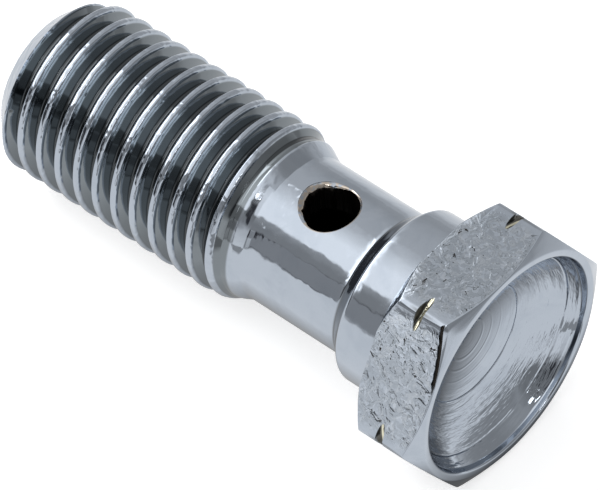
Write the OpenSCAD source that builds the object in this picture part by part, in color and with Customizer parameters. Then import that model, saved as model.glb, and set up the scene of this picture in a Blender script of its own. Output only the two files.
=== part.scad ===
// Banjo bolt with a hexagon head, lying on one flat of the head and on the tip of its thread.
// Lengths are in mm. The axis lies along +X with the head at the +X end, and +Z is up.

/* [Thread] */
// Diameter over the crests of the thread
thread_d = 9.7; // [9.2:0.05:10.6]
// Advance of the thread in one turn
thread_pitch = 1.25; // [1:0.05:1.5]
// Length from the tip to the foot of the shoulder
thread_len = 16.3; // [10:0.1:30]
// Diameter of the end face at the tip
tip_d = 7.4; // [6.6:0.1:7.8]
// Length of the chamfer at the tip
tip_chamfer_len = 1.15; // [0.8:0.05:1.6]
// Length of the rounded shoulder between the thread and the neck
shoulder_len = 1.9; // [1.2:0.05:2.6]
// Turns over which the groove runs out before the shoulder
runout_turns = 1.9; // [1:0.1:3]

/* [Shank] */
// Diameter of the plain neck
neck_d = 8.05; // [7.4:0.05:8.4]
// Length of the plain neck between the shoulder and the cone
neck_len = 6.1; // [5:0.1:14]
// Diameter of the collar under the head
collar_d = 9.7; // [9:0.05:11]
// Length of the collar's cylinder
collar_len = 2.98; // [2:0.02:6]
// Length of the cone that rises from the neck to the collar
cone_len = 0.84; // [0.5:0.02:1.4]
// Radius of the fillet at the foot of the cone
cone_fillet = 0.2; // [0.05:0.05:0.4]
// Diameter of the blind bore that runs in from the tip
oil_bore_d = 4.6; // [3.6:0.1:5.2]
// Diameter of the drilling across the neck
cross_bore_d = 3.25; // [2.4:0.05:4]
// Distance from the cross drilling's centre to the foot of the cone
cross_bore_inset = 3.35; // [2.6:0.05:4]
// Width of the chamfer round the mouths of the cross drilling
mouth_chamfer = 0.15; // [0.05:0.05:0.3]

/* [Head] */
// Width of the head across its flats
head_af = 13; // [12.6:0.05:14]
// Diameter over the rounded corners of the head
corner_d = 14.88; // [14.6:0.02:15.8]
// Height of the head from its bearing face to its top
head_h = 4.05; // [3.9:0.05:6]
// Slope of the chamfer that the top's corners are turned to, in degrees
top_angle = 30; // [20:1:35]
// Slope of the chamfer that the underside's corners are turned to, in degrees
base_angle = 40; // [20:1:45]
// Distance that the bearing face reaches past the flats before its chamfer starts
bearing_reach = 0.15; // [0.02:0.01:0.3]
// Distance that the top's chamfer starts inside the flats
top_inset = 0.05; // [0.02:0.01:0.3]
// Width of the flat land between the top's chamfer and the bowl
rim_land = 0.4; // [0.1:0.05:1.5]
// Depth of the bowl turned into the top
bowl_depth = 2.7; // [1.2:0.05:2.8]
// Height of the corner notches above the bearing face
notch_z = 1.96; // [1.6:0.02:2.3]
// Depth of the corner notches
notch_depth = 0.42; // [0.1:0.02:0.5]

/* [Hidden] */
$fn = 96;
// how far a cutter runs past a face, and how deep two joined shapes share metal
past = 0.5;
overlap = 0.3;
bowl_steps = 14;
drill_point = 118;

// places along the bolt's own axis, from the bearing face at 0 down to the tip
cone_top_z = -collar_len;
neck_z = cone_top_z - cone_len;
shoulder_z = neck_z - neck_len;
tip_z = shoulder_z - thread_len;
cross_z = neck_z - cross_bore_inset;
bore_end_z = cross_z + cross_bore_d / 2;

// the thread's section: flanks 60 degrees apart, lands as shares of the pitch, crests rounded
crest_land = 0.2;
flank = 0.323;
round_share = 0.035;
root_start = crest_land + flank;
thread_depth = flank * thread_pitch / tan(30);
round_depth = round_share / flank;
// each row of one pitch: its share of the pitch and its share of the depth
rows = [
    [round_share, 0],
    [crest_land - round_share, 0],
    [crest_land + round_share, round_depth],
    [root_start, 1],
    [1 - flank, 1],
    [1 - round_share, round_depth]
];
sides = 48;
per_turn = len(rows);
// the thread's solid runs on a little way inside the neck
thread_end_z = shoulder_z + overlap;
row_count = per_turn * (ceil((thread_end_z - tip_z) / thread_pitch) + 3);

// the blank that the groove is cut in: a tip cone, a cylinder and a rounded shoulder
thread_r = thread_d / 2;
neck_r = neck_d / 2;
tip_slope = (thread_r - tip_d / 2) / tip_chamfer_len;
shoulder_bow = 1.3;
function rise(t) = t < 0 ? shoulder_bow * t : 1 - pow(1 - min(t, 1), shoulder_bow);
function shoulder_r(z) = neck_r + (thread_r - neck_r) * rise((shoulder_z - z) / shoulder_len);
function tip_r(z) = tip_d / 2 + tip_slope * (z - tip_z);
function ease(t) = t <= 0 ? 0 : t >= 1 ? 1 : t * t * (3 - 2 * t);
function groove(z) = thread_depth * ease((shoulder_z - overlap - z) / (runout_turns * thread_pitch));
function surface_r(z, share) = min(tip_r(z), shoulder_r(z) - share * groove(z));

// height and point of row j at side i of the helical surface, held between its two ends
function row_z(j) = tip_z + (floor(j / per_turn) - 2 + rows[j % per_turn][0]) * thread_pitch;
function at_z(j, i) = max(tip_z, min(thread_end_z, row_z(j) + thread_pitch * i / sides));
function thread_point(j, i) =
    let (z = at_z(j, i), r = surface_r(z, rows[j % per_turn][1]), a = 360 * i / sides)
    [r * cos(a), r * sin(a), z];
// the last side of a row meets the first side of the row one turn on
function index(j, i) = i < sides ? j * sides + i : (j + per_turn) * sides;

// lying pose: a flat of the head and the first full crest of the thread touch the ground
touch_turn = ceil(tip_chamfer_len / thread_pitch - round_share);
touch_z = tip_z + (touch_turn + round_share) * thread_pitch;
flat_r = head_af / 2;
top_r = flat_r - top_inset;
lie_angle = atan((flat_r - thread_r) / -touch_z);
tip_x = tip_z * cos(lie_angle) - tip_d / 2 * sin(lie_angle);
head_x = head_h * cos(lie_angle) + top_r * sin(lie_angle);

// full-depth helical thread with a chamfered start and a groove that runs out at the shoulder
module thread() {
    points = [for (j = [0:row_count - 1]) for (i = [0:sides - 1]) thread_point(j, i)];
    walls = [
        for (j = [0:row_count - per_turn - 2]) for (i = [0:sides - 1])
            let (a = index(j, i), b = index(j + 1, i), c = index(j + 1, i + 1), d = index(j, i + 1))
            each [
                if (at_z(j, i) < at_z(j + 1, i)) [a, b, c],
                if (at_z(j, i + 1) < at_z(j + 1, i + 1)) [a, c, d]
            ]
    ];
    tip_face = [for (i = [0:sides - 1]) i];
    end_face = [for (i = [sides - 1:-1:0]) (row_count - 1) * sides + i];
    polyhedron(points, concat(walls, [tip_face, end_face]), convexity = 4);
}

// neck, cone and collar in one turned profile, with a fillet at the foot of the cone
module shank() {
    cone_r = collar_d / 2 - neck_r;
    cone_angle = atan(cone_r / cone_len);
    run = cone_fillet * tan(cone_angle / 2);
    arc_z = neck_z - run;
    arc_r = neck_r + cone_fillet;
    start_z = shoulder_z - shoulder_len / 2;
    fillet = [for (a = [0:cone_angle / 4:cone_angle + 0.01])
        [arc_r - cone_fillet * cos(a), arc_z + cone_fillet * sin(a)]];
    rotate_extrude()
        polygon(concat(
            [[0, start_z], [neck_r, start_z]],
            fillet,
            [[collar_d / 2, cone_top_z], [collar_d / 2, overlap], [0, overlap]]
        ));
}

// hexagon cut from a turned blank, which leaves its corners rounded and chamfered at both ends
module head() {
    corner_r = corner_d / 2;
    bearing_r = flat_r + bearing_reach;
    base_z = (corner_r - bearing_r) * tan(base_angle);
    corner_z = head_h - (corner_r - top_r) * tan(top_angle);
    blank = [[0, 0], [bearing_r, 0], [corner_r, base_z], [corner_r, corner_z], [top_r, head_h], [0, head_h]];
    difference() {
        intersection() {
            rotate_extrude()
                polygon(blank);
            rotate([0, 0, 30])
                translate([0, 0, -past])
                    cylinder(h = head_h + 2 * past, r = head_af / sqrt(3), $fn = 6);
        }
        bowl();
        corner_notch(corner_r);
    }
}

// half of a flattened ball, open at the top of the head
module bowl() {
    bowl_r = top_r - rim_land;
    wall = [for (k = [0:bowl_steps])
        let (a = 90 * k / bowl_steps)
        [bowl_r * sin(a), head_h - bowl_depth * cos(a)]];
    rotate_extrude()
        polygon(concat(wall, [[bowl_r, head_h + past], [0, head_h + past]]));
}

// turned V groove so shallow that it only cuts the six corners
module corner_notch(corner_r) {
    half = notch_depth + past;
    rotate_extrude()
        polygon([
            [corner_r - notch_depth, notch_z],
            [corner_r + past, notch_z - half],
            [corner_r + past, notch_z + half]
        ]);
}

// blind bore from the tip, ending in a drill point at the far side of the cross drilling
module oil_bore() {
    bore_r = oil_bore_d / 2;
    point_len = bore_r / tan(drill_point / 2);
    translate([0, 0, tip_z - past])
        cylinder(h = bore_end_z - tip_z + past, r = bore_r);
    translate([0, 0, bore_end_z])
        cylinder(h = point_len, r1 = bore_r, r2 = 0);
}

// drilling right across the neck, square to two flats of the head, with chamfered mouths
module cross_bore() {
    bore_r = cross_bore_d / 2;
    translate([0, 0, cross_z])
        rotate([0, 90, 0]) {
            translate([0, 0, -neck_r - past])
                cylinder(h = 2 * (neck_r + past), r = bore_r);
            for (end = [0, 180])
                rotate([end, 0, 0])
                    translate([0, 0, neck_r - 2 * mouth_chamfer])
                        cylinder(h = 3 * mouth_chamfer, r1 = bore_r, r2 = bore_r + 3 * mouth_chamfer);
        }
}

// the whole bolt upright about its own axis, with the head up
module upright_bolt() {
    difference() {
        union() {
            thread();
            shank();
            head();
        }
        oil_bore();
        cross_bore();
    }
}

module banjo_bolt() {
    color("silver")
        translate([-(tip_x + head_x) / 2, 0, flat_r * cos(lie_angle)])
            rotate([0, 90 - lie_angle, 0])
                upright_bolt();
}

banjo_bolt();
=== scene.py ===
import bpy
import bmesh
import math
import numpy as np
from mathutils import Matrix


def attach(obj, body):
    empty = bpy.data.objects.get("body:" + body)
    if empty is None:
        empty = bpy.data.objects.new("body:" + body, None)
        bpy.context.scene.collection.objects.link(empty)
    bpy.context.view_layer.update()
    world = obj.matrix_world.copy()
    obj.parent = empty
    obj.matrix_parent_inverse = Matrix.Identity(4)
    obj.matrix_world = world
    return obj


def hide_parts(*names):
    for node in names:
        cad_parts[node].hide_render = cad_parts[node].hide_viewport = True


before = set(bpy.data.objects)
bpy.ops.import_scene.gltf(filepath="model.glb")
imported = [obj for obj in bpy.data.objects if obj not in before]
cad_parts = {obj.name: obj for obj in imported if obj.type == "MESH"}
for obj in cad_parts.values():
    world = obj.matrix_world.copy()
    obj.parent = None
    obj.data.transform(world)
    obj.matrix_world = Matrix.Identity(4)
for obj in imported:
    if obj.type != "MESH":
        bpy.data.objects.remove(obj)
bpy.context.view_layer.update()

print("frame loaded")

# the bolt's sizes, in mm unless a note says otherwise
bolt = {
    "threadD": 9.7,        # over the crests
    "pitch": 1.25,
    "threadLen": 16.3,
    "tipD": 7.4,
    "tipChamferLen": 1.15,
    "shoulderLen": 1.9,
    "shoulderBow": 1.3,
    "runoutTurns": 1.9,
    "runoutGap": 0.3,      # how far before the neck the groove has run out
    "crestLand": 0.2,      # shares of the pitch
    "flank": 0.323,
    "crestStart": 0.035,   # and where a crest begins
    "crestCut": 0.07,      # how far the corners of the thread's crests and roots are rounded
    "rootCut": 0.06,
    "neckD": 8.05,
    "neckLen": 6.1,
    "collarD": 9.7,
    "collarLen": 2.98,
    "coneLen": 0.84,
    "oilBoreD": 4.6,
    "boreRim": 0.15,       # chamfer at the bore's mouth
    "drillPoint": 118.0,   # degrees
    "crossBoreD": 2.95,
    "crossInset": 3.35,
    "mouthRound": 0.15,
    "mouthRough": 0.2,     # how far the worn lip on the tip's side of the mouths stands in
    "mouthWaves": ((0.16, 9, 1), (0.13, 17, 0), (0.1, 31, 2)),   # its waves: height, count, start
    "headAf": 13.0,
    "cornerD": 14.88,
    "headH": 4.05,
    "topAngle": 30.0,      # degrees
    "baseAngle": 40.0,
    "bearingReach": 0.15,
    "topInset": 0.05,
    "rimLand": 0.4,
    "bowlDepth": 2.7,
    "notchZ": 1.96,
    "notchDepth": 0.42,
    "notchHalf": 0.23,     # half the notches' width along the axis
    "notchInset": 0.02,    # how far inside the corner their oval section is centred
    "cornerBlend": 0.03,   # how softly the flats run into the turned corners
    "tornDepth": 0.1,      # the torn line under the top edge of one flat
    "tornAngles": (209, 239),
    "sharpAngle": 38,      # degrees, from which an edge is shaded sharp
}

neckR = bolt["neckD"] / 2
threadR = bolt["threadD"] / 2
collarR = bolt["collarD"] / 2
flatR = bolt["headAf"] / 2
cornerR = bolt["cornerD"] / 2
oilR = bolt["oilBoreD"] / 2
crossR = bolt["crossBoreD"] / 2
topR = flatR - bolt["topInset"]
bowlR = topR - bolt["rimLand"]
topSlope = math.tan(math.radians(bolt["topAngle"]))
bearingR = flatR + bolt["bearingReach"]
coneTopZ = -bolt["collarLen"]
neckZ = coneTopZ - bolt["coneLen"]
shoulderZ = neckZ - bolt["neckLen"]
tipZ = shoulderZ - bolt["threadLen"]
crossZ = neckZ - bolt["crossInset"]
boreEndZ = crossZ + crossR
threadDepth = bolt["flank"] * bolt["pitch"] / math.tan(math.radians(30))

# the lying pose: one flat of the head and the first full crest touch the floor
touchTurn = math.ceil(bolt["tipChamferLen"] / bolt["pitch"] - bolt["crestStart"])
touchZ = tipZ + (touchTurn + bolt["crestStart"]) * bolt["pitch"]
lieAngle = math.atan((flatR - threadR) / -touchZ)
tipX = tipZ * math.cos(lieAngle) - bolt["tipD"] / 2 * math.sin(lieAngle)
headX = bolt["headH"] * math.cos(lieAngle) + topR * math.sin(lieAngle)
lieShift = np.array([-(tipX + headX) / 2, 0.0, flatR * math.cos(lieAngle)])
lieTurn = np.array([
    [math.sin(lieAngle), 0.0, math.cos(lieAngle)],
    [0.0, 1.0, 0.0],
    [-math.cos(lieAngle), 0.0, math.sin(lieAngle)],
])


def layDown(points):
    # turns upright points in mm so that the axis lies along X, shifts them and scales them to metres
    return (points @ lieTurn.T + lieShift) / 1000


def columnAngles():
    # angles round the axis: even steps over each flat, closer ones over the notches and at each of the
    # six corners
    notch = [22.15, 22.6, 23.4, 24.6, 26.0, 27.2]
    edge = [28.0, 28.5, 28.9, 29.3, 29.65]
    side = np.radians(notch + edge)
    middle = np.radians(np.linspace(-20.4, 20.4, 18))
    sector = np.concatenate([-side[::-1], middle, side, [math.radians(30)]])
    turns = np.arange(6)[:, None] * math.radians(60)
    return np.sort((sector[None, :] + turns).ravel() % (2 * math.pi))


angles = columnAngles()
columns = len(angles)


def profileRows(corners, cuts, fills, arcSteps=3):
    # rows of (radius, height) for all columns. A corner P with a cut c is rounded by the curve
    # (1-t)^2 A + 2t(1-t) P + t^2 B, where A and B lie c away from P towards its neighbours, or 0.45 of the
    # way there where that is less.
    # fills gives how many rows stand evenly on the straight that ends at each corner.
    rows = []
    for k, point in enumerate(corners):
        if cuts[k] > 0:
            back = corners[k - 1] - point
            ahead = corners[k + 1] - point
            backLen = np.linalg.norm(back, axis=1, keepdims=True) + 1e-9
            aheadLen = np.linalg.norm(ahead, axis=1, keepdims=True) + 1e-9
            start = point + back / backLen * np.minimum(cuts[k], 0.45 * backLen)
            end = point + ahead / aheadLen * np.minimum(cuts[k], 0.45 * aheadLen)
            t = np.linspace(0, 1, arcSteps + 1)[:, None, None]
            curve = (1 - t) ** 2 * start + 2 * t * (1 - t) * point + t ** 2 * end
        else:
            curve = point[None]
        if rows and fills[k]:
            t = (np.arange(1, fills[k] + 1) / (fills[k] + 1))[:, None, None]
            rows.append(rows[-1][-1] * (1 - t) + curve[0] * t)
        rows.append(curve)
    return np.concatenate(rows)


def everyColumn(radius, height):
    # one profile corner as an array over the columns
    return np.stack(np.broadcast_arrays(radius + 0 * angles, height + 0 * angles), axis=1)


def ringPoints(rows):
    # x = r cos a, y = r sin a, z = h
    r, h = rows[..., 0], rows[..., 1]
    return np.stack([r * np.cos(angles), r * np.sin(angles), h], axis=-1)


def gridFaces(rowCount, wrapRows=0):
    # quads between neighbouring rows and columns; the last column meets the first one wrapRows rows on
    j = np.arange(rowCount - 1 - wrapRows)[:, None]
    i = np.arange(columns)[None, :]
    nextI = (i + 1) % columns
    nextJ = j + np.where(i == columns - 1, wrapRows, 0)
    quads = [j * columns + i, nextJ * columns + nextI, (nextJ + 1) * columns + nextI, (j + 1) * columns + i]
    return np.stack(np.broadcast_arrays(*quads), axis=-1).reshape(-1, 4)


def boreRows():
    # from the drill point at the blind end down the bore's wall and out over the tip's face
    pointLen = oilR / math.tan(math.radians(bolt["drillPoint"] / 2))
    rim = bolt["boreRim"]
    corners = [
        everyColumn(0, boreEndZ + pointLen),
        everyColumn(oilR, boreEndZ),
        everyColumn(oilR, tipZ + rim),
        everyColumn(oilR + rim, tipZ),
        everyColumn(bolt["tipD"] / 2, tipZ),
    ]
    return profileRows(corners, [0, 0.05, 0.03, 0.03, 0], [0, 2, 9, 1, 2])


def rise(t):
    # share of the shoulder's height: a straight foot that bends over to level at 1
    bow = bolt["shoulderBow"]
    return np.where(t < 0, bow * t, 1 - (1 - np.clip(t, 0, 1)) ** bow)


def runOut(z):
    # share of the groove's full depth at height z, eased to nothing under the neck
    t = np.clip((shoulderZ - bolt["runoutGap"] - z) / (bolt["runoutTurns"] * bolt["pitch"]), 0, 1)
    return t * t * (3 - 2 * t)


def threadSurface(z, share):
    # radius at height z: the tip's cone or the shoulder's blank less the groove's depth there
    tipSlope = (threadR - bolt["tipD"] / 2) / bolt["tipChamferLen"]
    cone = bolt["tipD"] / 2 + tipSlope * (z - tipZ)
    blank = neckR + (threadR - neckR) * rise((shoulderZ - z) / bolt["shoulderLen"])
    return np.minimum(cone, blank - share * threadDepth * runOut(z))


def threadSection():
    # one pitch as (share of the pitch, share of the depth), its four corners rounded by the same curve
    land, flank = bolt["crestLand"], bolt["flank"]
    base = np.array([[0, 0], [land, 0], [land + flank, 1], [1 - flank, 1], [1, 0], [1 + land, 0]], float)
    scale = np.array([bolt["pitch"], threadDepth])
    crestCut, rootCut = bolt["crestCut"], bolt["rootCut"]
    cuts = [0, crestCut, rootCut, rootCut, crestCut, 0]
    rows = [np.array([[land * 0.5, 0]])]
    for k in (1, 2, 3, 4):
        point = base[k] * scale
        back, ahead = base[k - 1] * scale - point, base[k + 1] * scale - point
        start = point + back / np.linalg.norm(back) * cuts[k]
        end = point + ahead / np.linalg.norm(ahead) * cuts[k]
        t = np.linspace(0, 1, 4)[:, None]
        rows.append(((1 - t) ** 2 * start + 2 * t * (1 - t) * point + t ** 2 * end) / scale)
    return np.concatenate(rows)


def threadPoints():
    # helical rows: z = tip + (turn + share + angle / 360) * pitch, held between the tip and the neck.
    # groove is how far each point lies under the uncut blank, as a share of the depth cut there, which
    # counts as 0.3 of the full one at least
    section = threadSection()
    perTurn = len(section)
    turnCount = math.ceil(bolt["threadLen"] / bolt["pitch"]) + 3
    turns = np.arange(-2, turnCount)
    share = (turns[:, None] + section[None, :, 0]).ravel()
    depth = np.tile(section[:, 1], len(turns))
    z = tipZ + (share[:, None] + angles[None, :] / (2 * math.pi)) * bolt["pitch"]
    z = np.clip(z, tipZ, shoulderZ)
    r = threadSurface(z, depth[:, None])
    groove = (threadSurface(z, 0.0) - r) / (threadDepth * np.maximum(runOut(z), 0.3))
    return np.stack([r * np.cos(angles), r * np.sin(angles), z], axis=-1), perTurn, groove


def hexRadius():
    # distance to the hexagon's wall: half its width over cos of the angle from the flat's middle, blended
    # into the turned corner by -k ln(e^(-flat/k) + e^(-corner/k))
    fromFlat = (angles + math.radians(30)) % math.radians(60) - math.radians(30)
    k = bolt["cornerBlend"]
    flat, corner = flatR / np.cos(fromFlat) - flatR, cornerR - flatR
    return flatR - k * np.log(np.exp(-flat / k) + math.exp(-corner / k))


def notchRows(wall):
    # a groove of oval section cut into the corners: r = c - q sqrt(1 - t^2), z = middle + t * half its
    # width, with t held where the groove meets the wall
    q = bolt["notchDepth"] - bolt["notchInset"]
    centre = cornerR - bolt["notchInset"]
    reach = np.sqrt(np.maximum(1 - (np.minimum(centre - wall, q) / q) ** 2, 0))
    share = np.array([-1, -0.93, -0.75, -0.45, 0, 0.45, 0.75, 0.93, 1])
    t = share[:, None] * reach[None, :]
    radius = np.minimum(centre - q * np.sqrt(1 - t ** 2), wall)
    return [everyColumn(r, bolt["notchZ"] + z) for r, z in zip(radius, t * bolt["notchHalf"])]


def tornLine():
    # depth of the torn line: it sets in within 1.5 degrees, fades over 5 and is 0.8 + 0.2 sin(1.3 a) between
    a = np.degrees(angles)
    start, end = bolt["tornAngles"]
    ends = np.clip((a - start) / 1.5, 0, 1) * np.clip((end - a) / 5, 0, 1)
    return bolt["tornDepth"] * ends * (0.8 + 0.2 * np.sin(a * 1.3))


def wallTop(wall):
    # height at which the top's chamfer cuts a wall that stands this far out
    return bolt["headH"] - (wall - topR) * topSlope


def headRows():
    # neck, cone, collar, bearing face, hexagon wall with its corner notches, top and bowl.
    # cuts are the roundings of the corners in mm, fills the extra rows on the way to each
    wall = hexRadius()
    baseZ = np.maximum((wall - bearingR) * math.tan(math.radians(bolt["baseAngle"])), 0.02)
    wallTopZ = wallTop(wall)
    torn = tornLine()
    corners = [
        everyColumn(neckR, shoulderZ),
        everyColumn(neckR, neckZ),
        everyColumn(collarR, coneTopZ),
        everyColumn(collarR, 0),
        everyColumn(np.minimum(bearingR, wall - 0.03), 0),
        everyColumn(wall, baseZ),
    ]
    cuts = [0, 0.12, 0.1, 0.1, 0.05, 0.06]
    fills = [0, 18, 2, 4, 1, 1]
    notch = notchRows(wall)
    corners += notch
    cuts += [0] * len(notch)
    fills += [1] + [0] * (len(notch) - 1)
    # three rows under the top's edge are the torn line: its lower lip, and the bottom and top of the gap
    corners += [
        everyColumn(wall, wallTopZ - 0.06 - torn * 2.2),
        everyColumn(wall - torn, wallTopZ - 0.05 - torn * 1.9),
        everyColumn(wall - torn, wallTopZ - 0.04 - torn * 0.2),
        everyColumn(wall, wallTopZ),
        everyColumn(topR, bolt["headH"]),
        everyColumn(bowlR, bolt["headH"]),
    ]
    cuts += [0, 0, 0, 0.025, 0.06, 0.12]
    fills += [1, 0, 0, 0, 2, 1]
    # the bowl is half an ellipse: r = R sin a, z = top - depth cos a
    steps = np.radians(np.concatenate([np.linspace(84, 8, 20), [4, 0]]))
    for a in steps:
        corners.append(everyColumn(bowlR * math.sin(a), bolt["headH"] - bolt["bowlDepth"] * math.cos(a)))
    cuts += [0] * len(steps)
    fills += [0] * len(steps)
    return profileRows(corners, cuts, fills)


def cutShare(head):
    # 1 where the head's wall lies under the hexagon, in the notches and in the torn line
    r = np.hypot(head[..., 0], head[..., 1])
    z = head[..., 2]
    wall = hexRadius()
    onWall = (r > flatR - 0.15) & (z > bolt["notchZ"] - 0.3) & (z < wallTop(wall) - 0.03)
    return np.clip((wall - r) / 0.05, 0, 1) * onWall


def makeMesh(name, points, faces, groove):
    # points in upright mm, quads as rows of indices, and each point's share of the groove's depth
    mesh = bpy.data.meshes.new(name)
    mesh.vertices.add(len(points))
    mesh.vertices.foreach_set("co", layDown(points).ravel())
    count, size = faces.shape
    mesh.loops.add(count * size)
    mesh.loops.foreach_set("vertex_index", faces.ravel())
    mesh.polygons.add(count)
    mesh.polygons.foreach_set("loop_start", np.arange(count) * size)
    mesh.update(calc_edges=True)
    mesh.attributes.new("groove", "FLOAT", "POINT").data.foreach_set("value", groove)
    weld = bmesh.new()
    weld.from_mesh(mesh)
    bmesh.ops.remove_doubles(weld, verts=weld.verts, dist=1e-7)
    bmesh.ops.dissolve_degenerate(weld, edges=weld.edges, dist=1e-8)
    weld.to_mesh(mesh)
    weld.free()
    thing = bpy.data.objects.new(name, mesh)
    bpy.context.scene.collection.objects.link(thing)
    return thing


def boltBody():
    # three grids that meet at their ends: bore and tip's face, thread, and all from the neck up into the bowl
    bore = ringPoints(boreRows())
    thread, perTurn, threadGroove = threadPoints()
    head = ringPoints(headRows())
    grids = [(bore, 0, 0), (thread, perTurn, threadGroove), (head, 0, cutShare(head))]
    points, faces, grooves, start = [], [], [], 0
    for grid, wrap, groove in grids:
        points.append(grid.reshape(-1, 3))
        faces.append(gridFaces(len(grid), wrap) + start)
        grooves.append(np.broadcast_to(groove, grid.shape[:2]).ravel())
        start += len(points[-1])
    return makeMesh("chrome_bolt", np.concatenate(points), np.concatenate(faces), np.concatenate(grooves))


def crossCutter():
    # the drilling as a closed skin: at angle a round its axis and radius q the neck's surface stands at
    # x = sqrt(R^2 - (q cos a)^2), and the mouth's rounding lies under it by c (1 - sin lean).
    # On the side towards the tip the lip stands in by w = rough * min(-1.3 sin a, 1)^0.7 with a few waves,
    # and c grows by 1.5 w
    a = np.linspace(0, 2 * math.pi, 120, endpoint=False)
    worn = bolt["mouthRough"] * np.clip(-np.sin(a) * 1.3, 0, 1) ** 0.7
    waves = sum(height * np.sin(count * a + start) for height, count, start in bolt["mouthWaves"])
    worn *= 1 + waves * 1.6
    c = bolt["mouthRound"] + 1.5 * worn + 0.006 * waves
    lean = np.radians(np.linspace(0, 72, 6))[:, None]
    q = crossR - worn + c * (1 - np.cos(lean))
    down = c * (1 - np.sin(lean))
    # a last ring clear of the neck
    q = np.vstack([q, q[-1:] + 0.25])
    down = np.vstack([down, np.full((1, len(a)), -0.6)])
    side = q * np.cos(a)
    x = np.sqrt(neckR ** 2 - side ** 2) - down
    mouth = np.stack([x, side, crossZ + q * np.sin(a)], axis=-1)
    mirrored = mouth[::-1] * np.array([-1, 1, 1])
    rings = np.concatenate([mirrored, mouth])
    n = len(a)
    j = np.arange(len(rings) - 1)[:, None]
    i = np.arange(n)[None, :]
    quads = [j * n + i, j * n + (i + 1) % n, (j + 1) * n + (i + 1) % n, (j + 1) * n + i]
    faces = np.stack(np.broadcast_arrays(*quads), axis=-1).reshape(-1, 4)
    mesh = bpy.data.meshes.new("cross_cutter")
    total = len(rings) * n
    lids = [list(range(n - 1, -1, -1)), list(range(total - n, total))]
    mesh.from_pydata(layDown(rings.reshape(-1, 3)).tolist(), [], faces.tolist() + lids)
    skin = bmesh.new()
    skin.from_mesh(mesh)
    bmesh.ops.recalc_face_normals(skin, faces=skin.faces)
    skin.to_mesh(mesh)
    skin.free()
    cutter = bpy.data.objects.new("cross_cutter", mesh)
    bpy.context.scene.collection.objects.link(cutter)
    return cutter


def drill(piece, cutter):
    # cuts the drilling out of the body and keeps the result as the piece's own mesh
    cutting = piece.modifiers.new("drilling", "BOOLEAN")
    cutting.operation = "DIFFERENCE"
    cutting.solver = "EXACT"
    cutting.object = cutter
    keepResult(piece)
    bpy.data.objects.remove(cutter)


def keepResult(piece):
    # the mesh that the modifiers give becomes the piece's own
    bpy.context.view_layer.update()
    done = bpy.data.meshes.new_from_object(piece.evaluated_get(bpy.context.evaluated_depsgraph_get()))
    piece.modifiers.clear()
    old = piece.data
    piece.data = done
    bpy.data.meshes.remove(old)
    done.name = piece.name


def smoothPiece(piece, sharpDegrees):
    # smooth shading in which large faces count most, so that flats stay flat beside rounded edges
    mesh = piece.data
    mesh.polygons.foreach_set("use_smooth", np.ones(len(mesh.polygons), bool))
    mesh.set_sharp_from_angle(angle=math.radians(sharpDegrees))
    weighted = piece.modifiers.new("shading", "WEIGHTED_NORMAL")
    weighted.keep_sharp = True
    weighted.weight = 100
    keepResult(piece)


boltPiece = boltBody()
print("body", len(boltPiece.data.vertices), "points", len(boltPiece.data.polygons), "faces")
drill(boltPiece, crossCutter())
smoothPiece(boltPiece, bolt["sharpAngle"])
boltPiece.data.calc_loop_triangles()
print("drilled", len(boltPiece.data.loop_triangles), "triangles")

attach(boltPiece, "root")
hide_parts("banjo_bolt")


def node(tree, kind, x, y, **values):
    # a new node at a place on the sheet, with its plain settings
    made = tree.nodes.new(kind)
    made.location = (x, y)
    for key, value in values.items():
        setattr(made, key, value)
    return made


def fill(tree, socket, value):
    # a number goes straight onto the socket, anything else is linked to it
    if isinstance(value, (int, float)):
        socket.default_value = value
    else:
        tree.links.new(value, socket)


def calc(tree, x, y, operation, *values):
    # one Math node of one to three inputs
    made = node(tree, "ShaderNodeMath", x, y, operation=operation)
    for socket, value in zip(made.inputs, values):
        fill(tree, socket, value)
    return made.outputs[0]


def ramp(tree, x, y, value, low, high, toLow=0.0, toHigh=1.0, smooth=True):
    # carries low..high over to toLow..toHigh and holds both ends
    made = node(tree, "ShaderNodeMapRange", x, y, interpolation_type="SMOOTHSTEP" if smooth else "LINEAR")
    for socket, number in zip(list(made.inputs)[:5], (value, low, high, toLow, toHigh)):
        fill(tree, socket, number)
    return made.outputs[0]


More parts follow.
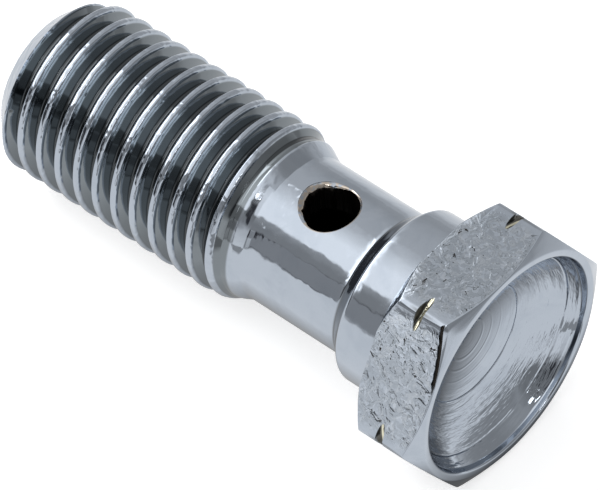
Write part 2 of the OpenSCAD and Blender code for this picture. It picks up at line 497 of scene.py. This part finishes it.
# colours, patterns and depths of the chrome plate
plate = {
    "tint": (0.475, 0.525, 0.595),
    "cloud": (0.44, 0.49, 0.56),      # faint clouding of the plate
    "shade": (0.22, 0.245, 0.265),    # painted shade on the flanks of the thread, and in the mottling and curls of the flats
    "root": (0.07, 0.077, 0.083),     # and nearly black painted shade in its root and in the corner under the collar
    "hollowShade": (0.035, 0.031, 0.028),    # near black: painted shade inside the drillings, in the torn line and in the pits
    "notch": (0.12, 0.117, 0.105),    # painted shade in the corner notches
    "notchHighlight": (0.8, 0.77, 0.6),  # and a painted highlight along their middle
    "lip": (0.6, 0.53, 0.46),         # warm worn lip of the drilling
    "wall": (0.07, 0.08, 0.095),      # painted shade on the bowl's wall
    "swirl": (0.85, 0.88, 0.92),      # painted highlight along the folds in the skin of the flats
    "roughness": 0.055,
    "roughShares": (0.6, 2.2),        # from its clearest to its haziest places
    "hollowRoughness": 0.35,            # what the drillings, the torn line and the pits add to it
    "peelDepth": 0.028,               # mm, of the crumpled skin on the flats
    "rippleDepth": 0.026,             # of the slow waves on the neck and the collar
    "feedDepth": 0.068,               # of the turning marks in the bowl
    # every noise by its scale in 1/mm, detail, roughness and distortion
    "crumpleNoise": (1.15, 2.0, 0.45, 1.6),
    "fineNoise": (3.4, 2.0, 0.5, 1.0),
    "pitNoise": (3.3, 2.0, 0.5, 0.9),
    "pitGroupNoise": (0.55, 1.0),
    "lipNoise": (2.6, 2.0, 0.6),
    "feedNoise": (1.0, 3.0, 0.6, 0.2),
    "waveNoise": (0.55, 2.0, 0.5, 0.4),
    "ringNoise": (1.0, 2.0),
    "crestNoise": (1.7, 1.0, 0.5, 0.3),
    "cloudNoise": (0.45, 3.0, 0.6, 0.8),
    "hazeNoise": (1.1, 4.0, 0.6),
    # levels of the noises over which clouding, haze and the spots of the lip set in
    "cloudLevel": (0.42, 0.7),
    "hazeLevel": (0.3, 0.75),
    "lipLevel": (0.4, 0.52),
    # flats: shares of the fine crumples and of the pits in the relief, half the width of a fold in noise
    # value, the value that the curls follow, and the levels over which they, mottling and pits set in
    "fineShare": 0.22,
    "pitShare": 1.2,
    "foldHalf": 0.05,
    "curlMiddle": 0.47,
    "curlLevel": (0.3, 0.6),
    "mottleLevel": (0.35, 0.65),
    "pitLevel": (0.665, 0.7),
    "pitGroupLevel": (0.42, 0.52),
    # and how strongly these painted shades and highlights are tinted
    "mottleShare": 0.38,
    "curlShare": 0.85,
    "swirlShare": 0.16,
    # thread: shares of the groove's depth over which the painted shade of the flanks and of the root sets in
    "flankGroove": (0.15, 0.28),
    "rootGroove": (0.86, 0.95),
    "cornerShare": 0.85,              # of the root's painted shade in the corner under the collar
    "dentGroove": (0.3, 0.1),         # dents lie on the crests alone
    "dentGain": 2.4,                  # against the slow waves
    "dentGrowth": (1.6, 0.15),        # they grow over so many mm from the neck on, from this share
    # shank: noise steps of its turning marks per mm along the axis and round it
    "ringSteps": (4.5, 0.6),
    "ringShare": 0.05,
    # bowl: noise steps of the turning marks per mm outwards and along the turn, the radii between which
    # they grow and the share they start from
    "feedSteps": (4.0, 0.45),
    "feedGrowth": (2.2, 4.9, 0.055),
    # single circles: radius, half width and depth as a share of feedDepth
    "circles": (
        (1.15, 0.12, 0.066),
        (1.75, 0.1, 0.058),
        (2.35, 0.08, 0.041),
        (3.3, 0.06, 0.33),
        (5.6, 0.07, 0.41),
    ),
    # a polished patch of the wall, by its radius and angle, and how the marks come back round it
    "patchPlace": (5.7, 18),
    "patchFade": (0.2, 0.9, 0.2),
    # painted shade on the wall: the radii over which it sets in, how ragged its edge is, and the side it
    # lies on with its own fade, in mm
    "wallShadeRadii": (5.75, 6.05),
    "wallShadeRagged": 1.7,
    "wallShadeSide": (-0.57, -0.82),
    "wallShadeFade": (0.5, 3.5),
}


def boltSpace(tree):
    # the bolt's own axes in mm for every pattern: (x, y, z), distance from the axis
    place = node(tree, "ShaderNodeTexCoord", -2400, 0)
    turn = node(tree, "ShaderNodeMapping", -2200, 0, vector_type="TEXTURE")
    turn.inputs["Location"].default_value = tuple(lieShift / 1000)
    turn.inputs["Rotation"].default_value = (0, math.pi / 2 - lieAngle, 0)
    turn.inputs["Scale"].default_value = (0.001, 0.001, 0.001)
    tree.links.new(place.outputs["Object"], turn.inputs["Vector"])
    split = node(tree, "ShaderNodeSeparateXYZ", -2000, 0)
    tree.links.new(turn.outputs[0], split.inputs[0])
    x, y, z = split.outputs
    xx = calc(tree, -1800, 100, "MULTIPLY", x, x)
    rr = calc(tree, -1650, 100, "MULTIPLY_ADD", y, y, xx)
    return turn.outputs[0], x, y, z, calc(tree, -1500, 100, "SQRT", rr)


def blend(tree, x, y, share, low, high):
    # one colour Mix node; a plain colour stands on its socket
    made = node(tree, "ShaderNodeMix", x, y, data_type="RGBA")
    for socket, value in zip((made.inputs[0], made.inputs[6], made.inputs[7]), (share, low, high)):
        if isinstance(value, tuple):
            socket.default_value = (*value[:3], 1)
        else:
            fill(tree, socket, value)
    return made.outputs[2]


def noise(tree, x, y, vector, scale, detail=2.0, roughness=0.5, distortion=0.0):
    # the value of one Noise node
    made = node(tree, "ShaderNodeTexNoise", x, y)
    tree.links.new(vector, made.inputs["Vector"])
    for name, value in (("Scale", scale), ("Detail", detail),
                        ("Roughness", roughness), ("Distortion", distortion)):
        made.inputs[name].default_value = value
    return made.outputs["Fac"]


def product(tree, x, y, *values):
    # all values multiplied, one after another
    total = values[0]
    for k, value in enumerate(values[1:]):
        total = calc(tree, x + 160 * k, y, "MULTIPLY", total, value)
    return total


def drawnOut(tree, x, y, axes, steps):
    # a vector for noise that runs finely along the first axis and slowly along the other two
    joined = node(tree, "ShaderNodeCombineXYZ", x, y)
    for k, (axis, step) in enumerate(zip(axes, (steps[0], steps[1], steps[1]))):
        fill(tree, joined.inputs[k], calc(tree, x - 200, y - 150 * k, "MULTIPLY", axis, step))
    return joined.outputs[0]


def chromePlate():
    # one material for the whole bolt; masks in 0..1 tell its finishes apart
    material = bpy.data.materials.new("chrome_plate")
    material.use_nodes = True
    tree = material.node_tree
    shader = tree.nodes["Principled BSDF"]
    shader.inputs["Metallic"].default_value = 1.0
    point, x, y, z, r = boltSpace(tree)

    # where each finish lies, from height and distance to the axis; r * slope + z is the same all over the
    # top's chamfer
    onHead = ramp(tree, -1300, 900, z, -0.03, 0.03)
    chamfer = calc(tree, -1300, 1100, "MULTIPLY_ADD", r, topSlope, z)
    chamferSum = bolt["headH"] + topR * topSlope
    onFlats = product(tree, -1100, 900, onHead, ramp(tree, -1300, 1300, r, flatR - 0.06, flatR - 0.01),
                      ramp(tree, -1100, 1100, chamfer, chamferSum - 0.02, chamferSum - 0.1),
                      ramp(tree, -900, 1300, r, cornerR - 0.08, cornerR - 0.3, 0.12))
    inBowl = product(tree, -1100, 700, ramp(tree, -1300, 700, z, 1.0, 1.2),
                     ramp(tree, -1300, 500, r, bowlR - 0.05, bowlR - 0.12))
    onShank = calc(tree, -1100, 500, "SUBTRACT", 1.0, onHead)
    # inside the drillings, which the colour below paints with shade
    limit = ramp(tree, -1300, 300, z, shoulderZ, shoulderZ + 0.3, oilR + 0.02, neckR - 0.205, smooth=False)
    inDrilling = product(tree, -900, 300, calc(tree, -1100, 300, "LESS_THAN", r, limit),
                         calc(tree, -1100, 150, "LESS_THAN", z, neckZ))

    # thread: painted shade on the flanks between bright crests and nearly black painted shade in the
    # root, which also fills the corner under the collar. On the head the same attribute tells the notches
    # from the torn line, which lies above 2.5 mm
    carved = node(tree, "ShaderNodeAttribute", -1700, -100, attribute_name="groove").outputs["Fac"]
    groove = calc(tree, -1500, -100, "MULTIPLY", carved, onShank)
    flank = ramp(tree, -1300, -100, groove, *plate["flankGroove"])
    corner = product(tree, -1100, -300, ramp(tree, -1300, -350, z, neckZ - 0.14, neckZ + 0.04),
                     ramp(tree, -1300, -450, z, coneTopZ - 0.03, coneTopZ - 0.16), plate["cornerShare"])
    root = calc(tree, -900, -300, "MAXIMUM", ramp(tree, -1300, -300, groove, *plate["rootGroove"]), corner)
    carvedHead = product(tree, -1300, -600, carved, onHead)
    torn = product(tree, -1100, -600, carvedHead, ramp(tree, -1300, -750, z, 2.45, 2.55))
    inNotch = calc(tree, -1100, -900, "SUBTRACT", carvedHead, torn)
    # the painted highlight in a notch lies just under its middle
    offMiddle = calc(tree, -1300, -1000, "ABSOLUTE",
                     calc(tree, -1450, -1000, "SUBTRACT", z, bolt["notchZ"] - 0.02))
    highlightLine = product(tree, -1000, -1000, inNotch, ramp(tree, -1150, -1000, offMiddle, 0.085, 0.05))
    # the worn lip of the cross drilling, by the distance from the drilling's axis
    zc = calc(tree, -1450, 700, "SUBTRACT", z, crossZ)
    fromDrilling = calc(tree, -1150, 600, "SQRT", calc(tree, -1300, 600, "MULTIPLY_ADD", zc, zc,
                        calc(tree, -1450, 550, "MULTIPLY", y, y)))
    lipSpots = noise(tree, -1300, 420, point, *plate["lipNoise"])
    lip = product(tree, -1000, 600, onShank,
                  ramp(tree, -1150, 450, fromDrilling, crossR + 0.16, crossR + 0.06),
                  ramp(tree, -1150, 420, lipSpots, *plate["lipLevel"]))

    # skin of the flats: soft crumples with finer ones in them, and a few torn pits
    crumple = noise(tree, -1300, -1200, point, *plate["crumpleNoise"])
    fine = noise(tree, -1300, -1350, point, *plate["fineNoise"])
    pitNoise = noise(tree, -1300, -1450, point, *plate["pitNoise"])
    pitGroups = noise(tree, -1300, -1650, point, *plate["pitGroupNoise"])
    pits = product(tree, -900, -1450, onFlats, ramp(tree, -1100, -1450, pitNoise, *plate["pitLevel"]),
                   ramp(tree, -1100, -1650, pitGroups, *plate["pitGroupLevel"]))
    # pale folds and dark curls of the skin, painted into the colour below as highlight and shade
    fold = calc(tree, -1000, -1150, "ABSOLUTE", calc(tree, -1100, -1150, "SUBTRACT", crumple, 0.5))
    swirls = ramp(tree, -850, -1050, fold, plate["foldHalf"], 0.0)
    curl = calc(tree, -1000, -1350, "ABSOLUTE",
                calc(tree, -1100, -1350, "SUBTRACT", fine, plate["curlMiddle"]))
    curls = product(tree, -850, -1300, onFlats,
                    ramp(tree, -850, -1350, curl, plate["foldHalf"], 0.0, 0.0, plate["curlShare"]),
                    ramp(tree, -850, -1400, crumple, *plate["curlLevel"]))
    peel = calc(tree, -900, -1200, "MULTIPLY_ADD", fine, plate["fineShare"], crumple)
    peel = calc(tree, -700, -1200, "MULTIPLY_ADD", pits, -plate["pitShare"], peel)
    peelBump = product(tree, -500, -1200, onFlats, peel)

    # bowl: turning marks as noise drawn out round the axis, and a few single circles
    feed = noise(tree, -1300, -2000, drawnOut(tree, -1500, -2000, (r, x, y), plate["feedSteps"]),
                 *plate["feedNoise"])
    wallward = ramp(tree, -1100, -1850, r, *plate["feedGrowth"], 1.0)
    # the marks are fainter on one polished patch of the wall
    patchR, patchAngle = plate["patchPlace"][0], math.radians(plate["patchPlace"][1])
    offX = calc(tree, -1250, -1650, "SUBTRACT", x, patchR * math.cos(patchAngle))
    offY = calc(tree, -1250, -1700, "SUBTRACT", y, patchR * math.sin(patchAngle))
    fromPatch = calc(tree, -950, -1650, "SQRT", calc(tree, -1100, -1650, "MULTIPLY_ADD", offX, offX,
                     calc(tree, -1100, -1720, "MULTIPLY", offY, offY)))
    patch = ramp(tree, -800, -1650, fromPatch, *plate["patchFade"], 1.0)
    marks = product(tree, -900, -2000, feed, wallward)
    for k, (radius, width, depth) in enumerate(plate["circles"]):
        away = calc(tree, -1150, -2250 - 150 * k, "ABSOLUTE",
                    calc(tree, -1300, -2250 - 150 * k, "SUBTRACT", r, radius))
        line = ramp(tree, -1000, -2250 - 150 * k, away, width, 0.0)
        marks = calc(tree, -850, -2250 - 150 * k, "MULTIPLY_ADD", line, -depth, marks)
    bowlBump = product(tree, -500, -2000, inBowl, marks, patch)
    # painted shade on the bowl's wall, most of all towards one side
    sideX, sideY = plate["wallShadeSide"]
    towards = calc(tree, -1300, -1900, "MULTIPLY_ADD", x, sideX,
                   calc(tree, -1450, -1900, "MULTIPLY", y, sideY))
    ragged = calc(tree, -1250, -1750, "MULTIPLY_ADD", feed, plate["wallShadeRagged"], r)
    wallShade = product(tree, -900, -1800, inBowl, ramp(tree, -1100, -1750, ragged, *plate["wallShadeRadii"]),
                   ramp(tree, -1100, -1950, towards, *plate["wallShadeFade"]))

    # shank: slow waves and fine turning marks; crests a little hammered
    wave = noise(tree, -1300, -3000, point, *plate["waveNoise"])
    rings = noise(tree, -1300, -3200, drawnOut(tree, -1500, -3200, (z, x, y), plate["ringSteps"]),
                  *plate["ringNoise"])
    crests = noise(tree, -1300, -3400, point, *plate["crestNoise"])
    growth, first = plate["dentGrowth"]
    below = ramp(tree, -1300, -3600, z, shoulderZ, shoulderZ - growth, first, 1.0)
    onCrest = ramp(tree, -1300, -3750, groove, *plate["dentGroove"])
    slow = calc(tree, -1000, -3100, "MULTIPLY_ADD", rings, plate["ringShare"], wave)
    dented = product(tree, -1000, -3400, crests, below, onCrest)
    shankBump = product(tree, -500, -3100, onShank,
                        calc(tree, -700, -3200, "MULTIPLY_ADD", dented, plate["dentGain"], slow))

    # heights in mm, one after another
    normal = None
    reliefs = ((peelBump, "peelDepth"), (bowlBump, "feedDepth"), (shankBump, "rippleDepth"))
    for k, (height, depth) in enumerate(reliefs):
        bump = node(tree, "ShaderNodeBump", -200, -1200 - 300 * k)
        bump.inputs["Strength"].default_value = 1.0
        bump.inputs["Distance"].default_value = plate[depth] / 1000
        tree.links.new(height, bump.inputs["Height"])
        if normal is not None:
            tree.links.new(normal, bump.inputs["Normal"])
        normal = bump.outputs[0]
    tree.links.new(normal, shader.inputs["Normal"])

    # colour and roughness
    cloud = noise(tree, -900, 1500, point, *plate["cloudNoise"])
    clouded = ramp(tree, -700, 1500, cloud, *plate["cloudLevel"])
    colour = blend(tree, -500, 1300, clouded, plate["tint"], plate["cloud"])
    # painted shade on the thread's flanks
    colour = blend(tree, -350, 1200, flank, colour, plate["shade"])
    # painted shade in the thread's root and in the corner under the collar
    colour = blend(tree, -300, 1200, root, colour, plate["root"])
    # painted shade on the flats in blotches and curls, standing in for the reflections of their crumpled skin
    mottle = product(tree, -500, 1050, onFlats,
                     ramp(tree, -700, 1050, fine, *plate["mottleLevel"], 0.0, plate["mottleShare"]))
    colour = blend(tree, -250, 1150, mottle, colour, plate["shade"])
    colour = blend(tree, -225, 1150, curls, colour, plate["shade"])
    # painted highlight along the folds of the flats
    pale = product(tree, -400, 950, onFlats, swirls, plate["swirlShare"])
    colour = blend(tree, -200, 1150, pale, colour, plate["swirl"])
    colour = blend(tree, -150, 1150, lip, colour, plate["lip"])
    # painted shade in the corner notches
    colour = blend(tree, -100, 1100, inNotch, colour, plate["notch"])
    # painted highlight along the notches' middle
    colour = blend(tree, -50, 1100, highlightLine, colour, plate["notchHighlight"])
    # painted shade on the bowl's wall
    colour = blend(tree, 0, 1100, wallShade, colour, plate["wall"])
    # painted shade in the hollows: the drillings, the torn line and the pits, which are also rougher
    shadedHollows = calc(tree, -100, 900, "MAXIMUM", calc(tree, -250, 900, "MAXIMUM", inDrilling, torn), pits)
    colour = blend(tree, 100, 1000, shadedHollows, colour, plate["hollowShade"])
    tree.links.new(colour, shader.inputs["Base Color"])
    haze = noise(tree, -900, 1800, point, *plate["hazeNoise"])
    clear, hazy = (plate["roughness"] * share for share in plate["roughShares"])
    rough = ramp(tree, -500, 1800, haze, *plate["hazeLevel"], clear, hazy)
    rough = calc(tree, -300, 1800, "MULTIPLY_ADD", shadedHollows, plate["hollowRoughness"], rough)
    tree.links.new(rough, shader.inputs["Roughness"])
    return material


boltPiece.data.materials.clear()
boltPiece.data.materials.append(chromePlate())
print("chrome plate made")

# the white floor and what the bolt mirrors
studio = {
    "floorHalf": 2,                # metres
    "floorWhite": 0.86,
    "floorGlow": 0.64,             # of its own, for the camera alone
    # how bright the bolt sees the floor: a painted shadow of the bolt near itself, and painted shade
    # behind and over the far corners past its head, back and front
    "floorNear": (0.5, 8, 0.14, 1.0),
    "floorEnds": (15.5, 2.2),      # from this far along the axis, distance counts so many times
    # from the first x to the second the painted shadow widens to this far beside the axis
    "headReach": (8, 11, 4.5),
    "floorBack": (10, 70, 0.95, 0.58),
    "backCorner": (12, 32, 10, 24, 0.2),
    "frontCorner": (10, 22, -12, -20, 0.6),
    # brightness of the surroundings by the angle from overhead, the front above 0:
    # beside the bolt, past its head, far past its head and past its tip
    "beside": [(-90, 0.5), (-80, 0.48), (-66, 0.56), (-50, 0.62), (-26, 0.64), (-16, 0.55), (38, 0.55),
               (43, 0.44), (52, 0.33), (60, 0.33), (68, 0.44), (78, 0.36), (87, 0.33), (89, 0.6)],
    "pastHead": [(-95, 0.75), (-84, 0.52), (-75, 0.36), (-60, 0.34), (-35, 0.34), (-15, 0.44), (0, 0.42),
                 (24, 0.27), (45, 0.26), (57, 0.36), (66, 0.7), (80, 0.85), (90, 0.95)],
    "farHead": [(-95, 0.7), (-85, 0.42), (-70, 0.38), (-50, 0.32), (-10, 0.42), (8, 0.32), (28, 0.26),
                (45, 0.26), (56, 0.4), (66, 0.95), (90, 1.0)],
    "pastTip": [(-90, 0.5), (-66, 0.7), (-40, 0.95), (-24, 1.6), (52, 1.6), (60, 0.8), (66, 0.15), (86, 0.15),
                (90, 0.7)],
    "tipEnd": (0.13, 0.13, 0.1404),  # straight along the axis past the tip
    # reach along x over which each of them takes over
    "toPastHead": (0.02, 0.14),
    "toFarHead": (0.48, 0.58),
    "toPastTip": (-0.53, -0.6),
    "toTipEnd": (-0.8, -0.86),
    # nearly black boards by their angles, their reach and how soft both edges are: low in front of the
    # neck, low in front of the thread, and a stand past the head
    "dark": (0.05, 0.05, 0.055),
    "neckBoard": ((62, 73.5, 2.2), (-0.39, 0.15, 0.05)),
    "threadBoard": ((61, 88.5, 1.5), (-0.66, -0.36, 0.03)),
    "stand": ((26, 58, 3), (0.43, 0.6, 0.03)),
    "lamp": ((7.5, 20.5, 0.8), (0.458, 0.542, 0.004)),  # a small lamp past the head, in the same way
    "lampLight": 6.0,
    "boxHeight": 60.0,             # mm over the bolt's axis
    "boxAngles": (-25, 53),
    "boxEnds": (-110, 30),
    "boxLight": 0.8,
    # it is brighter beyond these in x, and this much further along per mm to the front
    "boxTip": (-36.5, -40.5, 0.21),
    "boxTipLight": 1.8,
    "boxFade": 0.04,               # share over which its edges fade
    "boxBack": (1.0, 0.63),        # where its near part fades at the back and at the front
    "boxFront": (0.24, 0.29),
    # a dim panel low in front of the neck: its edges in x and z, its place in y (mm) and its brightness
    "panelEnds": (-18.4, -1.0),
    "panelHeights": (9.6, 27.1),
    "panelY": -36.0,
    "panelLight": 0.3,
}


def whiteFloor():
    # a matt pale floor that also glows a little, so that it stands at white where nothing shades it
    mesh = bpy.data.meshes.new("floor")
    half = studio["floorHalf"]
    square = [(-half, -half, 0), (half, -half, 0), (half, half, 0), (-half, half, 0)]
    mesh.from_pydata(square, [], [(0, 1, 2, 3)])
    floor = bpy.data.objects.new("floor", mesh)
    bpy.context.scene.collection.objects.link(floor)
    paper = bpy.data.materials.new("floor_white")
    paper.use_nodes = True
    tree = paper.node_tree
    shader = tree.nodes["Principled BSDF"]
    white = studio["floorWhite"]
    shader.inputs["Base Color"].default_value = (white, white, white, 1)
    shader.inputs["Roughness"].default_value = 0.9
    shader.inputs["Specular IOR Level"].default_value = 0.1
    shader.inputs["Emission Color"].default_value = (1, 1, 1, 1)
    path = node(tree, "ShaderNodeLightPath", -600, -300)
    glow = calc(tree, -200, -300, "MULTIPLY", path.outputs["Is Camera Ray"], studio["floorGlow"])
    tree.links.new(glow, shader.inputs["Emission Strength"])
    # the bolt mirrors a plain glow instead, with painted shadow and shade in it: a painted shadow of the bolt
    # by the distance beside it and past its ends, and painted shade by the distance behind it, and
    # 1 - share * (way in x) * (way in y) over two corners
    split = node(tree, "ShaderNodeSeparateXYZ", -1600, -500)
    tree.links.new(node(tree, "ShaderNodeTexCoord", -1800, -500).outputs["Object"], split.inputs[0])
    across, beside = (calc(tree, -1400, y, "MULTIPLY", split.outputs[k], 1000.0)
                      for k, y in ((0, -500), (1, -700)))
    endX, times = studio["floorEnds"]
    past = calc(tree, -1000, -500, "MAXIMUM", calc(tree, -1100, -500, "MULTIPLY_ADD",
                calc(tree, -1200, -500, "ABSOLUTE", across), times, -times * endX), 0.0)
    headStart, headFull, headReach = studio["headReach"]
    underHead = ramp(tree, -1400, -850, across, headStart, headFull, 0.0, headReach)
    aside = calc(tree, -1000, -850, "MAXIMUM", calc(tree, -1100, -850, "SUBTRACT",
                 calc(tree, -1200, -850, "ABSOLUTE", beside), underHead), 0.0)
    away = calc(tree, -800, -500, "SQRT", calc(tree, -900, -600, "MULTIPLY_ADD", past, past,
                calc(tree, -1000, -700, "MULTIPLY", aside, aside)))
    corners = []
    for k, name in enumerate(("backCorner", "frontCorner")):
        fromX, toX, fromY, toY, share = studio[name]
        corner = product(tree, -800, -1100 - 400 * k, ramp(tree, -1000, -1100 - 400 * k, across, fromX, toX),
                         ramp(tree, -1000, -1300 - 400 * k, beside, fromY, toY))
        corners.append(calc(tree, -500, -1100 - 400 * k, "MULTIPLY_ADD", corner, -share, 1.0))
    seen = product(tree, -400, -600, ramp(tree, -600, -500, away, *studio["floorNear"], smooth=False),
                   ramp(tree, -600, -700, beside, *studio["floorBack"], smooth=False), *corners)
    mirrored = node(tree, "ShaderNodeEmission", 0, -500)
    tree.links.new(seen, mirrored.inputs["Strength"])
    mix = node(tree, "ShaderNodeMixShader", 300, 0)
    tree.links.new(path.outputs["Is Glossy Ray"], mix.inputs[0])
    tree.links.new(shader.outputs[0], mix.inputs[1])
    tree.links.new(mirrored.outputs[0], mix.inputs[2])
    tree.links.new(mix.outputs[0], tree.nodes["Material Output"].inputs["Surface"])
    mesh.materials.append(paper)


def strips(tree, x, y, share, stops):
    # brightness along the stops, whose angles run from -180 to 180 degrees over the share 0..1
    bands = node(tree, "ShaderNodeValToRGB", x, y)
    elements = bands.color_ramp.elements
    while len(elements) < len(stops):
        elements.new(0.5)
    for element, (degrees, light) in zip(elements, stops):
        element.position = degrees / 360 + 0.5
        element.color = (light, light, light, 1)
    tree.links.new(share, bands.inputs[0])
    return bands.outputs[0]


def window(tree, x, y, value, low, high, edge):
    # 1 between low and high with soft edges, 0 outside
    opened = ramp(tree, x, y, value, low - edge, low + edge)
    closed = ramp(tree, x, y - 200, value, high + edge, high - edge)
    return calc(tree, x + 160, y, "MULTIPLY", opened, closed)


def studioWorld():
    # brightness by the angle of a direction about the bolt's axis, atan2(-y, z), and by its reach along it, x
    world = bpy.data.worlds.new("studio")
    world.use_nodes = True
    tree = world.node_tree
    background = tree.nodes["Background"]
    place = node(tree, "ShaderNodeTexCoord", -1600, 0)
    split = node(tree, "ShaderNodeSeparateXYZ", -1400, 0)
    tree.links.new(place.outputs["Generated"], split.inputs[0])
    reach, side, up = split.outputs
    front = calc(tree, -1200, 0, "MULTIPLY", side, -1.0)
    angle = calc(tree, -1000, 0, "ARCTAN2", front, up)
    degree = calc(tree, -1000, 300, "MULTIPLY", angle, 180 / math.pi)
    share = calc(tree, -800, 0, "MULTIPLY_ADD", angle, 0.5 / math.pi, 0.5)
    beside = strips(tree, -600, 200, share, studio["beside"])
    pastHead = strips(tree, -600, -50, share, studio["pastHead"])
    pastTip = strips(tree, -600, -300, share, studio["pastTip"])
    farHead = strips(tree, -600, -550, share, studio["farHead"])
    boards = {}
    for k, name in enumerate(("neckBoard", "threadBoard", "stand", "lamp")):
        across, along = studio[name]
        boards[name] = calc(tree, -300, 600 + 500 * k, "MULTIPLY",
                            window(tree, -700, 800 + 500 * k, degree, *across),
                            window(tree, -700, 550 + 500 * k, reach, *along))
    black = calc(tree, -150, 550, "MAXIMUM", boards["neckBoard"], boards["threadBoard"])
    dark, lampLight = studio["dark"], studio["lampLight"]
    light = blend(tree, 0, 200, black, beside, dark)
    light = blend(tree, 200, 100, ramp(tree, 0, -100, reach, *studio["toPastHead"]), light, pastHead)
    light = blend(tree, 400, 0, ramp(tree, 200, -200, reach, *studio["toPastTip"]), light, pastTip)
    atEnd = ramp(tree, 200, -500, reach, *studio["toTipEnd"])
    light = blend(tree, 450, 0, atEnd, light, studio["tipEnd"])
    light = blend(tree, 500, 0, ramp(tree, 200, -700, reach, *studio["toFarHead"]), light, farHead)
    light = blend(tree, 600, 100, boards["stand"], light, dark)
    light = blend(tree, 800, 100, boards["lamp"], light, (lampLight, lampLight, lampLight))
    path = node(tree, "ShaderNodeLightPath", 600, 300)
    light = blend(tree, 1000, 100, path.outputs["Is Camera Ray"], light, (1.0, 1.0, 1.0))
    tree.links.new(light, background.inputs["Color"])
    bpy.context.scene.world = world


def softBox():
    # a long box of light that runs along the bolt: it spans boxAngles seen from the axis at boxHeight
    height = studio["boxHeight"]
    back, front = (-height * math.tan(math.radians(a)) for a in studio["boxAngles"])
    start, end = studio["boxEnds"]
    lamp = bpy.data.lights.new("soft_box", "AREA")
    lamp.shape = "RECTANGLE"
    lamp.size = (end - start) / 1000
    lamp.size_y = (back - front) / 1000
    lamp.energy = studio["boxLight"] * math.pi * lamp.size * lamp.size_y
    # its near part fades out towards the back and is narrower in front, its far part is brighter
    lamp.use_nodes = True
    tree = lamp.node_tree
    split = node(tree, "ShaderNodeSeparateXYZ", -800, 0)
    tree.links.new(node(tree, "ShaderNodeNewGeometry", -1000, 0).outputs["Parametric"], split.inputs[0])
    u, v = split.outputs[0], split.outputs[1]
    fade = studio["boxFade"]
    inside = calc(tree, -600, 0, "MINIMUM", u, calc(tree, -700, 0, "SUBTRACT", 1.0, u))
    within = calc(tree, -600, -200, "MINIMUM", v, calc(tree, -700, -200, "SUBTRACT", 1.0, v))
    edges = product(tree, -200, 0, ramp(tree, -400, 0, inside, 0.0, fade),
                    ramp(tree, -400, -200, within, 0.0, fade))
    near = product(tree, -200, -400, ramp(tree, -400, -400, v, *studio["boxBack"], smooth=False),
                   ramp(tree, -400, -600, v, *studio["boxFront"]))
    # near + far * (brighter - near), where far starts along a slanted line x - slant * y
    nearTip, farTip, slant = studio["boxTip"]
    line = calc(tree, -600, -800, "MULTIPLY_ADD", u, float(end - start),
                calc(tree, -800, -800, "MULTIPLY_ADD", v, slant * (front - back), start - slant * front))
    far = ramp(tree, -400, -800, line, nearTip, farTip)
    gain = calc(tree, 0, -600, "SUBTRACT", studio["boxTipLight"], near)
    face = calc(tree, 300, 0, "MULTIPLY", edges, calc(tree, 150, -400, "MULTIPLY_ADD", far, gain, near))
    tree.links.new(face, tree.nodes["Emission"].inputs["Strength"])
    box = bpy.data.objects.new("soft_box", lamp)
    box.location = ((start + end) / 2000, (back + front) / 2000, (height + lieShift[2]) / 1000)
    box.visible_camera = False
    bpy.context.scene.collection.objects.link(box)


def frontPanel():
    # a dim upright panel that faces the neck from the front
    left, right = studio["panelEnds"]
    low, high = studio["panelHeights"]
    lamp = bpy.data.lights.new("front_panel", "AREA")
    lamp.shape = "RECTANGLE"
    lamp.size = (right - left) / 1000
    lamp.size_y = (high - low) / 1000
    lamp.energy = studio["panelLight"] * math.pi * lamp.size * lamp.size_y
    panel = bpy.data.objects.new("front_panel", lamp)
    panel.location = ((left + right) / 2000, studio["panelY"] / 1000, (low + high) / 2000)
    panel.rotation_euler = (math.pi / 2, 0, 0)
    panel.visible_camera = False
    bpy.context.scene.collection.objects.link(panel)


whiteFloor()
studioWorld()
softBox()
frontPanel()
print("floor and lights placed")


def lookFrom(place, aim, roll):
    # the camera's axes: back = place - aim, right = up x back, both turned by roll about back
    place, aim = np.array(place), np.array(aim)
    back = place - aim
    back /= np.linalg.norm(back)
    right = np.cross([0, 0, 1], back)
    right /= np.linalg.norm(right)
    up = np.cross(back, right)
    c, s = math.cos(roll), math.sin(roll)
    turned = np.stack([right * c + up * s, up * c - right * s, back], axis=1)
    pose = np.eye(4)
    pose[:3, :3] = turned
    pose[:3, 3] = place
    return pose


# the camera, in metres
view = {
    "place": (0.135994, -0.148113, 0.282240),
    "aim": (-0.000279, 0.001942, 0.001172),
    "roll": -1.9365,   # degrees
    "lens": 412.7,     # mm, on a sensor of sensorWidth
    "sensorWidth": 36,
}

camera = bpy.data.objects.new("camera", bpy.data.cameras.new("camera"))
camera.data.lens = view["lens"]
camera.data.sensor_width = view["sensorWidth"]
camera.data.clip_start = 0.01
camera.matrix_world = Matrix(lookFrom(view["place"], view["aim"], math.radians(view["roll"])).tolist())
bpy.context.scene.collection.objects.link(camera)
bpy.context.scene.camera = camera
bpy.context.scene.view_settings.view_transform = "Standard"
print("camera placed")
